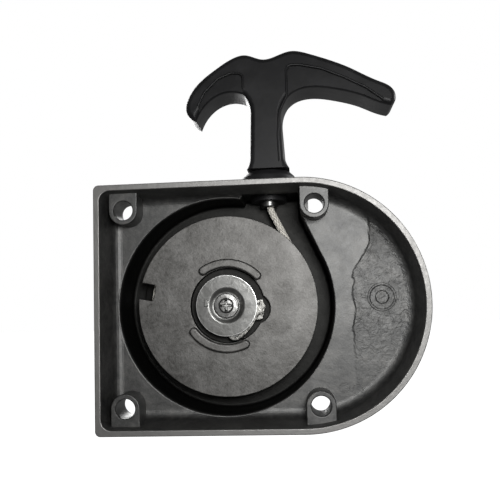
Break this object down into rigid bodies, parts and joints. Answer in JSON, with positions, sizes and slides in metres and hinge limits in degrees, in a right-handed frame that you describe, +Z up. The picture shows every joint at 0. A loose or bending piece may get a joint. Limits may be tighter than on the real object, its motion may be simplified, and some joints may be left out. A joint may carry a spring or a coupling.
{
  "type": "recoil starter",
  "caption": "Pull starter for a small engine: rope reel, pawl and friction plate in a die-cast housing, with a T handle on a rope.",
  "frame": {"origin": "centre of the four mounting holes, on the faces of their bosses", "axes": "+Z up towards the pull handle, Y along the reel axis with -Y facing the engine, +X towards the rounded end"},
  "size_m": [0.1326, 0.0405, 0.1588],
  "materials": {
    "die_cast_alloy": "as-cast, satin",
    "steel": "turned",
    "black_plastic": "moulded",
    "bright_steel": "zinc plated",
    "spring_steel": "drawn wire",
    "rope": "braided",
    "reel_alloy": "as-cast, satin",
    "bronze": "sintered",
    "handle_plastic": "moulded"
  },
  "bodies": {
    "housing": {"housing": "die_cast_alloy", "post_sleeve": "steel", "rope_guide": "black_plastic", "guide_ferrule": "steel", "centre_screw": "bright_steel", "friction_spring": "spring_steel", "rope_lead": "rope"},
    "reel": {"reel": "reel_alloy", "reel_bush": "bronze", "thrust_washer": "steel", "spring_cover": "steel", "recoil_spring": "spring_steel", "rope_coil": "rope", "reel_knot": "rope", "pawl_pin": "steel", "pawl_spring": "spring_steel"},
    "friction_plate": {"friction_plate": "bright_steel"},
    "pawl": {"pawl": "steel"},
    "handle": {"handle": "handle_plastic", "rope_retainer": "steel", "handle_knot": "rope", "rope_pull": "rope"}
  },
  "joints": [
    {"name": "reel_spin", "type": "hinge", "parent": "housing", "child": "reel", "pos_m": [0.0012, 0.023, 0], "axis": [0, -1, 0], "range_deg": [0, 1260], "stiffness_Nm_per_rad": 0.02, "springref_deg": -343.77},
    {"name": "handle_pull", "type": "slide", "parent": "housing", "child": "handle", "axis": [0, 0, 1], "range_m": [0, 0.785], "deforming": ["rope_pull"]},
    {"name": "friction_plate_turn", "type": "hinge", "parent": "reel", "child": "friction_plate", "pos_m": [0.0012, 0.013, 0], "axis": [0, 1, 0], "range_deg": [0, 25], "stiffness_Nm_per_rad": 0.005, "springref_deg": -17.19},
    {"name": "pawl_swing", "type": "hinge", "parent": "reel", "child": "pawl", "pos_m": [0.00431, 0.015, -0.01159], "axis": [0, 1, 0], "range_deg": [0, 28.5]}
  ],
  "couplings": [
    {"joint": "handle_pull", "follows": "reel_spin", "m_per_rad": 0.0355},
    {"joint": "pawl_swing", "follows": "friction_plate_turn", "ratio": 1.12}
  ]
}
